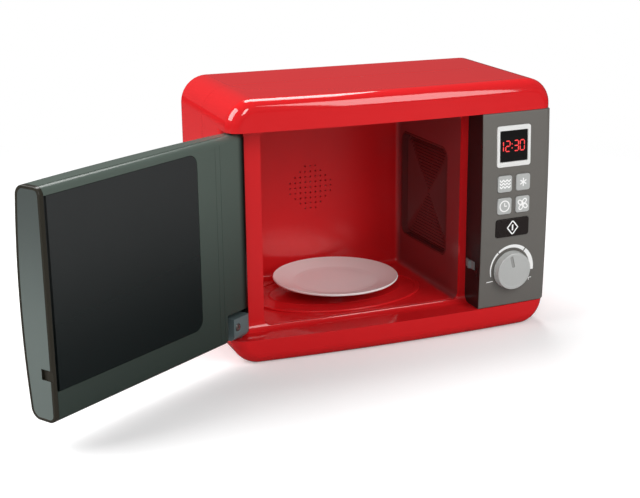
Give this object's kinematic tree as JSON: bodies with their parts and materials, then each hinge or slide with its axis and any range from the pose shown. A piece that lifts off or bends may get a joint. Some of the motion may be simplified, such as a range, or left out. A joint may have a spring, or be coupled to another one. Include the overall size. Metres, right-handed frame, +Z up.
{
  "type": "toy microwave",
  "caption": "Toy microwave in glossy plastic with a side-hung smoky door, a rounded oven with a plate on a turntable, a clock window, push buttons and a timer knob",
  "frame": {"origin": "Middle of the base under the main shell: half way along its width, half way between the foremost point of the front and the flat back of the main section, at the level it stands on", "axes": "+X is the user's right when facing the front, -Y is the front with the door and the controls, +Z is up"},
  "size_m": [0.5022, 0.2845, 0.235],
  "materials": {
    "red_shell": "glossy red",
    "red_oven": "satin red",
    "dark_panel": "dark warm grey, satin",
    "pale_trim": "pale grey, glossy",
    "black_window": "black, high gloss",
    "silver_keys": "silver paint, satin",
    "black_key": "black, satin",
    "silver_knob": "silver paint, satin",
    "grey_latch": "blue-grey, matt",
    "smoky_door": "smoky grey-green, satin",
    "smoky_cap": "smoky grey-green, satin",
    "white_plate": "white, glossy",
    "screw_steel": "plain steel",
    "green_board": "green lacquer",
    "grey_rubber": "soft grey",
    "black_plastic": "black, satin",
    "cell_sleeve": "plain dark sleeve"
  },
  "bodies": {
    "housing": {"battery_box": "black_plastic", "battery_cell_1": "cell_sleeve", "battery_cell_2": "cell_sleeve", "battery_cell_3": "cell_sleeve", "battery_cover": "red_shell", "battery_cover_screw": "screw_steel", "board_screw_1": "screw_steel", "board_screw_2": "screw_steel", "button_keypad": "grey_rubber", "cavity_liner": "red_oven", "circuit_board": "green_board", "control_panel": "dark_panel", "display_frame": "pale_trim", "display_lens": "black_window", "display_module": "black_plastic", "drive_motor": "screw_steel", "floor_pan": "red_oven", "front_housing": "red_shell", "gearbox_case": "black_plastic", "latch_guide": "black_plastic", "panel_screw_1": "screw_steel", "panel_screw_2": "screw_steel", "rear_housing": "red_shell", "shell_screw_1": "screw_steel", "shell_screw_2": "screw_steel", "shell_screw_3": "screw_steel", "shell_screw_4": "screw_steel", "speaker": "black_plastic", "timer_switch": "black_plastic", "vent_panel": "red_oven"},
    "door": {"door_shell": "smoky_door", "door_inner_panel": "smoky_door", "door_window": "black_window", "door_end_cap": "smoky_cap", "hinge_block": "grey_latch", "hinge_block_screw": "screw_steel"},
    "turntable": {"turntable_spindle": "black_plastic", "turntable_plate": "white_plate"},
    "knob": {"timer_knob": "silver_knob", "timer_shaft": "black_plastic"},
    "latch": {"latch_tongue": "grey_latch"},
    "key_defrost": {"button_defrost": "silver_keys"},
    "key_cool": {"button_cool": "silver_keys"},
    "key_clock": {"button_clock": "silver_keys"},
    "key_fan": {"button_fan": "silver_keys"},
    "key_start": {"start_button": "black_key"}
  },
  "joints": [
    {"name": "door_hinge", "type": "hinge", "parent": "housing", "child": "door", "pos_m": [-0.1462, -0.0565, 0.1158], "axis": [0, 0, 1], "range_deg": [0, 147]},
    {"name": "turntable_spin", "type": "hinge", "parent": "housing", "child": "turntable", "pos_m": [-0.0248, 0.019, 0.03], "axis": [0, 0, 1], "continuous": true},
    {"name": "timer_turn", "type": "hinge", "parent": "housing", "child": "knob", "pos_m": [0.1134, -0.07452, 0.0593], "axis": [0.0621, -0.9975, -0.0334], "range_deg": [-113, 89]},
    {"name": "defrost_push", "type": "slide", "parent": "housing", "child": "key_defrost", "axis": [-0.057, 0.9982, -0.0157], "range_m": [0, 0.0015], "stiffness_N_per_m": 400},
    {"name": "cool_push", "type": "slide", "parent": "housing", "child": "key_cool", "axis": [-0.0677, 0.9976, -0.0157], "range_m": [0, 0.0015], "stiffness_N_per_m": 400},
    {"name": "clock_push", "type": "slide", "parent": "housing", "child": "key_clock", "axis": [-0.057, 0.9984, -0.0033], "range_m": [0, 0.0015], "stiffness_N_per_m": 400},
    {"name": "fan_push", "type": "slide", "parent": "housing", "child": "key_fan", "axis": [-0.0677, 0.9977, -0.0033], "range_m": [0, 0.0015], "stiffness_N_per_m": 400},
    {"name": "start_push", "type": "slide", "parent": "housing", "child": "key_start", "axis": [-0.0622, 0.998, 0.0093], "range_m": [0, 0.0015], "stiffness_N_per_m": 400},
    {"name": "latch_push", "type": "slide", "parent": "housing", "child": "latch", "axis": [1, 0, 0], "range_m": [0, 0.0026], "stiffness_N_per_m": 300}
  ]
}
